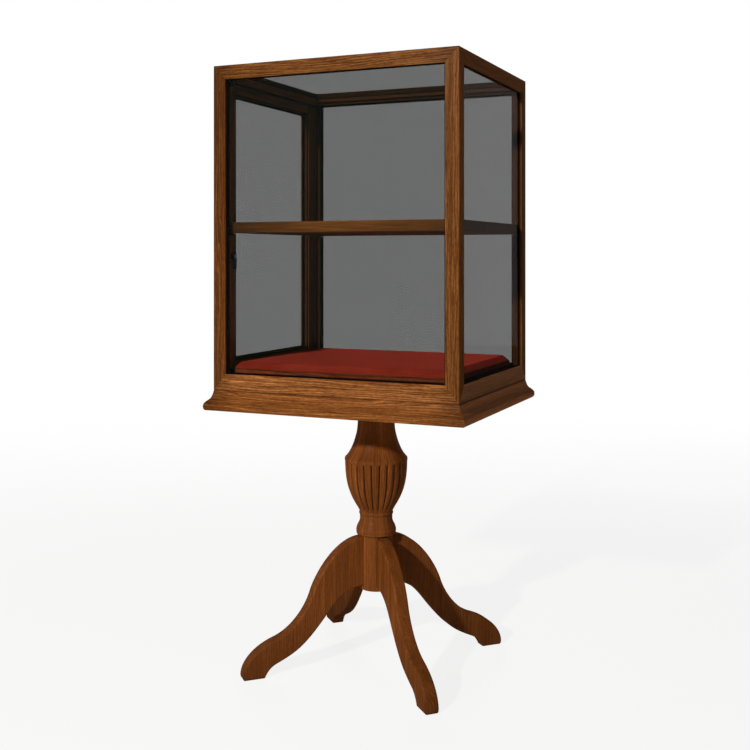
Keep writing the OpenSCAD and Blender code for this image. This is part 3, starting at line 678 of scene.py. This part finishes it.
# %% How the members lie on each side, and their painted joint shadows
# The front and back members are darker towards their ends.
darker_ends = [(0, -0.225, -0.315, 0.52), (0, 0.215, 0.315, 0.55)]
lays = {
    "front": (way_x, along_x, darker_ends), "back": (way_x, along_x, darker_ends),
    "left": (way_y, along_y, []), "right": (way_y, along_y, []),
}
moulding_low, moulding_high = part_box("base_moulding_front")
joint_z = moulding_high.z
moulding_h = joint_z - moulding_low.z
joint_reach, front_share, other_share = 0.0032, 0.72, 0.40


def joint_shadow(side):
    """The painted shadow line between the bottom rail and the moulding below it."""
    return joint_z, joint_reach, front_share if side == "front" else other_share


print("the rails meet the moulding at", round(joint_z, 4), "m")

# %% Rails
# Tones of the rails. Besides the wood's own tone they hold painted light: the rails in
# shade, on the left inside the case and on the right side, are painted lighter, and the
# bottom right one bluer.
rail_tones_with_painted_light = {
    ("top", "front"): (0.56, 0.58, 0.55),
    ("top", "back"): (0.42, 0.45, 0.42),
    ("top", "left"): (1.00, 1.02, 1.05),
    ("top", "right"): (0.64, 0.65, 0.64),
    ("bottom", "front"): (0.92, 0.95, 1.05),
    ("bottom", "back"): (0.93, 0.93, 0.80),
    ("bottom", "left"): (1.00, 1.00, 0.95),
    ("bottom", "right"): (0.88, 1.08, 1.85),
}
for level, side in rail_tones_with_painted_light:
    node = f"{level}_rail_{side}"
    low_rail = level == "bottom"
    # The right rails and the back top rail lie in shade and show less grain.
    faint = side == "right" or node == "top_rail_back"
    way, lay, fades = lays[side]
    finish = stained_oak(
        "oak_" + node, (0.031 * member_count - 0.9, 0.24 + 0.017 * member_count), lay,
        rail_tones_with_painted_light[level, side], 0.3 if faint else 1.0, fades,
        lines=[joint_shadow(side)] if low_rail else [],
        rings=1.0 if low_rail else 1.6,
        wander=lively_grain if low_rail else wavy_grain,
    )
    eased(node, way, finish, frame_ease)
    member_count += 1
print("members eased:", member_count)

# %% Base moulding
# The second painted shadow line lies in the hollow of the profile.
hollow_shadow = (joint_z - 0.60 * moulding_h, 0.0036, 0.80)
for side, (way, lay, fades) in lays.items():
    node = "base_moulding_" + side
    # The right moulding lies in shade: it is painted lighter and bluer, and shows less
    # grain.
    faint = side == "right"
    finish = stained_oak(
        "oak_" + node, (-0.70 + 0.02 * member_count, 0.19), lay,
        (1.12, 1.20, 1.65) if faint else (0.88, 0.85, 0.80), 0.3 if faint else 0.9,
        fades, [joint_shadow(side), hollow_shadow], wander=lively_grain,
    )
    eased(node, way, finish, moulding_ease)
    member_count += 1
print("members with the moulding:", member_count)

# %% Shelf, deck board and bearers
# The shelf is painted lighter in its middle, a painted highlight, and darker towards both
# ends, as painted shade.
shelf_highlight_and_shade = [(0, -0.02, -0.27, 0.42), (0, 0.05, 0.28, 0.65)]
shelf_oak = stained_oak(
    "oak_shelf", (-1.02, 0.06), along_x, (1.15, 1.15, 0.85), 0.6, shelf_highlight_and_shade
)
eased("shelf", way_x, shelf_oak, shelf_ease)
deck_oak = stained_oak("oak_deck", (-0.80, 0.05), along_x, (1.20, 0.76, 0.92))
eased("deck_board", way_x, deck_oak, deck_ease)
# The bearers are painted dark: painted shade in the trench under the deck board.
bearer_oak = stained_oak("oak_bearers", (-0.60, 0.11), along_x, (0.20, 0.16, 0.16), 0.3)
print("shelf and deck are eased")

# %% Door and its stops
# The door is painted lighter than the case: painted light on its inner faces, which lie in
# shade.
door_tone = (1.15, 1.17, 1.22)
stile_looks = {"hinge": ((0.33, 0.16), 0.72), "lock": ((0.21, -0.12), 1.0)}
for end, (cut, share) in stile_looks.items():
    node = "door_stile_" + end
    stile_tone = tuple(t * share for t in door_tone)
    finish = stained_oak("oak_" + node, cut, upright, stile_tone, 0.6)
    eased(node, way_z, finish, door_ease, body="door")
door_rail_oak = stained_oak("oak_door_rails", (0.28, -0.9), along_y, door_tone, 0.6)
for node in ("door_rail_top", "door_rail_bottom"):
    eased(node, way_y, door_rail_oak, door_ease, body="door")
bead_oak = stained_oak("oak_beads", (0.15, -0.5), along_x, (0.34, 0.33, 0.32), 0.3)
eased("door_stops", way_y, bead_oak, stop_ease)
for node in ("glazing_beads", "door_beads"):
    solids[node].data.materials.clear()
    solids[node].data.materials.append(bead_oak)
print("the door is eased")

# %% [markdown]
# ## Turned column
#
# The column is turned on a lathe and then carved: the lower part of its urn has
# 24 reeds, each rounded, with a sharp groove between. A screw modifier could turn
# the outline too, but could not carve it. So the piece is a grid of points round an
# axis: its outline is a chain of curves, and the reeds pull the radius in between
# their crests. How deep a point lies in a groove stays on the mesh, for the painted
# shade and the stain in the grooves.

# %% Curves of an outline


def curve(points, steps):
    """Points of a cubic curve through four control points, without its first."""
    made = []
    for i in range(1, steps + 1):
        t = i / steps
        s = 1 - t
        made.append(tuple(
            s ** 3 * a + 3 * s * s * t * b + 3 * s * t * t * c + t ** 3 * d
            for a, b, c, d in zip(*points)
        ))
    return made


def chain(start, *parts):
    """Joins curves and points into one outline."""
    made = [start]
    for part in parts:
        made.extend(part)
    return made


def closer(outline, longest, parts):
    """The outline with more points on its long falls."""
    made = []
    for (r0, z0), (r1, z1) in zip(outline, outline[1:]):
        cuts = parts if z0 - z1 > longest and r0 > 0 else 1
        made.append((r0, z0))
        for k in range(1, cuts):
            made.append((r0 + (r1 - r0) * k / cuts, z0 + (z1 - z0) * k / cuts))
    return made + [outline[-1]]


print("a curve of 4 steps:", curve([(0, 0), (1, 0), (1, 1), (2, 1)], 4))

# %% The column's outline, in millimetres: radius and height
column_outline = chain(
    (0.0, 663.5), [(25, 663.5), (25, 640), (43.6, 640), (44, 639.4), (44, 620)],
    curve([(44, 620), (45, 589.6), (45.5, 571.4), (48, 560.2)], 10),
    curve([(48, 560.2), (53, 539.2), (60.5, 515.4), (75.5, 500)], 18),
    curve([(75.5, 500), (77, 498.6), (77.3, 497), (77, 494.6)], 8),
    [(76.9, 493.8), (77, 493)],
    curve([(77, 493), (77, 437.3), (68, 409.5), (42.5, 372)], 40),
    [(41.4, 370.5), (40.9, 369.4), (40.8, 367.4)],
    curve([(40.8, 367.4), (42.2, 365.2), (42.2, 362), (40.4, 360)], 7),
    [(39.2, 359.4), (39.3, 358.4), (39.8, 357.6), (39.8, 348)],
    curve([(39.8, 348), (41, 341), (45, 336), (47, 331)], 9),
    [(46.5, 330.4), (46.4, 329.8), (47.4, 328.9)],
    curve([(47.4, 328.9), (49, 326), (49, 322), (48.6, 318)], 8),
    [(47.9, 317.4), (47.9, 316.8), (48.4, 316.2), (48.2, 313.6), (47.6, 313)],
    [(41.6, 313), (41.2, 312.6), (41, 311), (41, 181.5), (40.2, 180), (38.6, 179)],
    [(0.0, 179)],
)
column_outline = closer(column_outline, longest=12, parts=4)
print("points in the column's outline:", len(column_outline))

# %% Reeds round the urn
reed_count, points_per_reed = 24, 12
reed_top, reed_foot = 492.4, 373.0
opens_over, closes_over = 2.0, 5.0
crest_sink, reed_roundness = 0.7, 0.24


def reeded(radius, height, angle):
    """The radius at a height and angle, and how deep in a groove that point is."""
    if not reed_foot < height < reed_top:
        return radius, 0.0
    across = (angle * reed_count / (2 * math.pi)) % 1.0 * 2 - 1
    pitch = 2 * math.pi * radius / reed_count
    open_top = min(1.0, (reed_top - height) / opens_over)
    open_foot = min(1.0, (height - reed_foot) / closes_over)
    fall = reed_roundness * (1 - math.sqrt(max(0.0, 1 - across * across)))
    opened = open_top * open_foot
    return radius - (crest_sink + fall * pitch) * opened, abs(across) ** 6 * opened


crest, groove = (reeded(77, 450, math.pi * k / reed_count)[0] for k in (1, 0))
print("a groove lies", round(crest - groove, 2), "mm below the crest")

# %% Turn a form on the lathe
mm = 1000  # millimetres in a metre


def lathe(outline, around, shape):
    """A turned form. shape gives the radius of each point and how deep in a groove
    it lies, which stays on the mesh as its value groove."""
    work = bmesh.new()
    depth_of = work.verts.layers.float.new("groove")
    rings = []
    for radius, height in outline:
        if radius == 0:
            rings.append([work.verts.new((0, 0, height / mm))])
            continue
        ring = []
        for i in range(around):
            angle = 2 * math.pi * i / around
            r, depth = shape(radius, height, angle)
            point = work.verts.new((
                r * math.cos(angle) / mm, r * math.sin(angle) / mm, height / mm
            ))
            point[depth_of] = depth
            ring.append(point)
        rings.append(ring)
    for upper, lower in zip(rings, rings[1:]):
        for i in range(around):
            j = (i + 1) % around
            if len(upper) == 1:
                work.faces.new((upper[0], lower[i], lower[j]))
            elif len(lower) == 1:
                work.faces.new((upper[i], lower[0], upper[j]))
            else:
                work.faces.new((upper[i], lower[i], lower[j], upper[j]))
    return work


column_form = lathe(column_outline, reed_count * points_per_reed, reeded)
print("points of the column:", len(column_form.verts))

# %% Column


def smooth_piece(name, work, finish, sharp_turn=180, flat=()):
    """A form as a piece with a finish. It is smooth, but for its flat faces and the
    edges that turn more than sharp_turn, in degrees."""
    bmesh.ops.recalc_face_normals(work, faces=work.faces)
    for face in work.faces:
        face.smooth = face not in flat
    for edge in work.edges:
        paired = len(edge.link_faces) == 2
        if paired and edge.calc_face_angle(0) > math.radians(sharp_turn):
            edge.smooth = False
    mesh = bpy.data.meshes.new(name)
    work.to_mesh(mesh)
    work.free()
    mesh.materials.append(finish)
    return placed(name, mesh)


stand_tone = (0.67, 0.58, 0.52)
hub_fade = [(2, 0.345, 0.300, 1.12)]
column_oak = stained_oak(
    "oak_column", (0.035, 0.05), upright, stand_tone, 0.5, hub_fade,
    gloss=0.06, turned=True,
)
turned_column = smooth_piece("turned_column", column_form, column_oak, sharp_turn=60)
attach(turned_column, "case")
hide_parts("column")
print("column faces:", len(turned_column.data.polygons))

# %% [markdown]
# ## Legs
#
# Each leg is sawn from a thick board to an S-curve and its edges are rounded. It
# is built from layers across its thickness: the flat sides are drawn in a little,
# and the layers between them step out along a quarter circle. A bevel modifier
# could round the edges too, but its width would be held back wherever points of
# the outline lie close together.

# %% A leg's side view, in millimetres from the column's axis
hub_r, leg_reach, leg_top = 41.0, 338.0, 309.0
leg_root, root_low = 36.0, 0.618
leg_steps = 22
upper_curves = [
    [(0, 1), (0.205, 0.990), (0.380, 0.738), (0.428, 0.595)],
    [(0.428, 0.595), (0.475, 0.465), (0.590, 0.325), (0.745, 0.278)],
    [(0.745, 0.278), (0.890, 0.228), (0.995, 0.130), (1, 0.030)],
]
toe_and_sole = [(337.2, 4.2), (334.6, 0.6), (333.0, 0.0), (286.5, 0.0), (284.2, 1.0)]
lower_curves = [
    [(0.815, 0.012), (0.795, 0.052), (0.765, 0.080), (0.725, 0.097)],
    [(0.725, 0.097), (0.560, 0.165), (0.500, 0.200), (0.345, 0.376)],
    [(0.345, 0.376), (0.270, 0.460), (0.180, 0.612), (0, root_low)],
]


def leg_point(p):
    """A point of the side view, from its shares of the reach and the height."""
    return (hub_r + p[0] * (leg_reach - hub_r), p[1] * leg_top)


side_view = [(leg_root, leg_top), (hub_r, leg_top)]
for part in upper_curves:
    side_view += [leg_point(p) for p in curve(part, leg_steps)]
side_view += toe_and_sole + [leg_point(lower_curves[0][0])]
for part in lower_curves:
    side_view += [leg_point(p) for p in curve(part, leg_steps)]
side_view += [(leg_root, root_low * leg_top)]
print("points in the side view:", len(side_view))

# %% Round a leg's edges
leg_t, leg_round, round_steps = 32.0, 4.5, 5


def drawn_in(outline, by):
    """The outline moved in along its normals, but not at the end on the hub."""
    root_middle = (1 + root_low) / 2 * leg_top
    made = []
    for i, (x, z) in enumerate(outline):
        x0, z0 = outline[i - 1]
        x1, z1 = outline[(i + 1) % len(outline)]
        way = Vector((x1 - x0, z1 - z0)).normalized()
        in_x, in_z = by * way.y, -by * way.x
        if x <= leg_root:
            in_x, in_z = 0.0, (-by if z > root_middle else by)
        made.append((x + in_x, max(z + in_z, 0.0)))
    return made


leg_layers = []
for k in range(round_steps + 1):
    turn = math.radians(90 * k / round_steps)
    half = leg_t / 2 - leg_round * (1 - math.cos(turn))
    leg_layers.append((-half, leg_round * (1 - math.sin(turn))))
leg_layers += [(-y, by) for y, by in reversed(leg_layers)]
print("layers of a leg:", len(leg_layers))

# %% Saw a leg


def sawn_leg(name, angle, finish):
    """One leg on a diagonal of the plan."""
    work = bmesh.new()
    turn_c, turn_s = math.cos(angle), math.sin(angle)
    rings = [
        [
            work.verts.new((
                (x * turn_c - y * turn_s) / mm, (x * turn_s + y * turn_c) / mm, z / mm
            ))
            for x, z in drawn_in(side_view, by)
        ]
        for y, by in leg_layers
    ]
    count = len(side_view)
    for lower, upper in zip(rings, rings[1:]):
        for i in range(count):
            j = (i + 1) % count
            work.faces.new((lower[i], lower[j], upper[j], upper[i]))
    flat_sides = [work.faces.new(list(reversed(rings[0]))), work.faces.new(rings[-1])]
    return smooth_piece(name, work, finish, sharp_turn=38, flat=flat_sides)


print("the saw is set for legs of", leg_t, "mm")

# %% Legs on the diagonals
leg_places = {"front_left": 225, "front_right": 315, "back_left": 135, "back_right": 45}
# The back legs are painted darker: painted shade from the column and the front legs.
leg_shade_shares = {"front_left": 1.0, "front_right": 1.0, "back_left": 0.62, "back_right": 0.90}
foot_fade = [(2, 0.16, 0.02, 0.76)]
for k, (place, degrees) in enumerate(leg_places.items()):
    leg_tone = tuple(t * leg_shade_shares[place] for t in stand_tone)
    oak = stained_oak(
        "oak_leg_" + place, (0.11 + 0.04 * k, 0.05 + 0.03 * k), upright, leg_tone, 0.4,
        foot_fade, gloss=0.05,
    )
    leg = sawn_leg("sawn_leg_" + place, math.radians(degrees), oak)
    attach(leg, "case")
    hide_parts("leg_" + place)
print("legs:", len(leg_places), "faces each:", len(leg.data.polygons))

# %% [markdown]
# ## Velvet pad
#
# The pad is a firm board and a thin foam, wrapped in velvet that is drawn tight: a
# flat middle, four straight bevels, and only slightly soft edges where they meet.
# A cloth simulation would round off just these bevels, so the pad is modelled
# directly. It is a grid over its plan whose height falls off towards the rim, and a
# crown of less than a millimetre keeps the middle from looking machined.

# %% The pad's height over its plan
pad_low, pad_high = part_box("display_pad")
pad_h = pad_high.z - pad_low.z
pad_slope, pad_soft, pad_crisp = 0.0130, 0.0009, 16
rim_h, slope_h, crown_h = 0.0012, pad_h - 0.0022, 0.0008


def pad_height(x, y):
    """The pad's surface over its foot: slopes at the rim, a low crown within."""
    in_x = min(x - pad_low.x, pad_high.x - x)
    in_y = min(y - pad_low.y, pad_high.y - y)
    corner = math.exp(-in_x / pad_soft) + math.exp(-in_y / pad_soft)
    t = max(0.0, -pad_soft * math.log(corner)) / pad_slope
    short = math.log(1 + math.exp(pad_crisp * (1 - t)))
    short /= math.log(1 + math.exp(pad_crisp))
    crown = crown_h * math.sin(math.pi * (x - pad_low.x) / (pad_high.x - pad_low.x))
    crown *= math.sin(math.pi * (y - pad_low.y) / (pad_high.y - pad_low.y))
    return pad_low.z + min(rim_h + slope_h * (1 - short) + crown, pad_h)


print("the pad rises", round(pad_h, 4), "m")

# %% A grid that is fine near the rim
rim_zone, first_step, fine_step, coarse_step = 0.026, 0.0006, 0.0015, 0.012


def rim_spaced(low, high):
    """Places from low to high, close together near the rims."""
    near = [low, low + first_step]
    at = low + fine_step
    while at < low + rim_zone:
        near.append(at)
        at += fine_step
    near.append(low + rim_zone)
    wide = high - low - 2 * rim_zone
    parts = max(8, int(wide / coarse_step))
    middle = [low + rim_zone + wide * i / parts for i in range(1, parts)]
    return near + middle + [low + high - p for p in reversed(near)]


pad_xs = rim_spaced(pad_low.x, pad_high.x)
pad_ys = rim_spaced(pad_low.y, pad_high.y)
print("grid of the pad:", len(pad_xs), "by", len(pad_ys))

# %% Shape the pad
pad_form = bmesh.new()
pad_grid = [
    [pad_form.verts.new((x, y, pad_height(x, y))) for y in pad_ys] for x in pad_xs
]
for row, next_row in zip(pad_grid, pad_grid[1:]):
    for i in range(len(pad_ys) - 1):
        pad_form.faces.new((row[i], next_row[i], next_row[i + 1], row[i + 1]))
rim = [e for e in pad_form.edges if len(e.link_faces) == 1]
under = bmesh.ops.extrude_edge_only(pad_form, edges=rim)["geom"]
for v in (g for g in under if isinstance(g, bmesh.types.BMVert)):
    v.co.z = pad_low.z
foot_rim = [g for g in under if isinstance(g, bmesh.types.BMEdge)]
bmesh.ops.contextual_create(pad_form, geom=foot_rim)
velvet_pad = smooth_piece("velvet_pad", pad_form, velvet)
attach(velvet_pad, "case")
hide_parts("display_pad")
print("pad faces:", len(velvet_pad.data.polygons))

# %% [markdown]
# ## Finishes on the other solids
#
# Glass, seals, dowels, hinges, screws, the lock and the bolts have the right
# shape as they come, so each only takes its finish. The lock's inner parts and the
# deck's bearers are painted dark: painted shade, where they lie in shade inside the
# case.

# %% Give each remaining solid its finish
finishes = {
    "glass": smoked_glass,
    "seal": black_seal,
    "plain_wood": board_wood,
    "brass": brass,
    "steel": steel,
}
own_finishes = {
    "lock_nut": steel_painted_shade, "lock_cam": steel_painted_shade, "deck_bearers": bearer_oak,
    "seal_right": brown_seal,
}
finished = 0
for entry in frame["record"]["subparts"]:
    node = solids[entry["node"]]
    finish = own_finishes.get(entry["node"], finishes.get(entry["material_slot"]))
    if finish is None or node.hide_render:
        continue
    node.data.materials.clear()
    node.data.materials.append(finish)
    if finish is smoked_glass:
        node.visible_shadow = False
    finished += 1
print("solids finished:", finished)
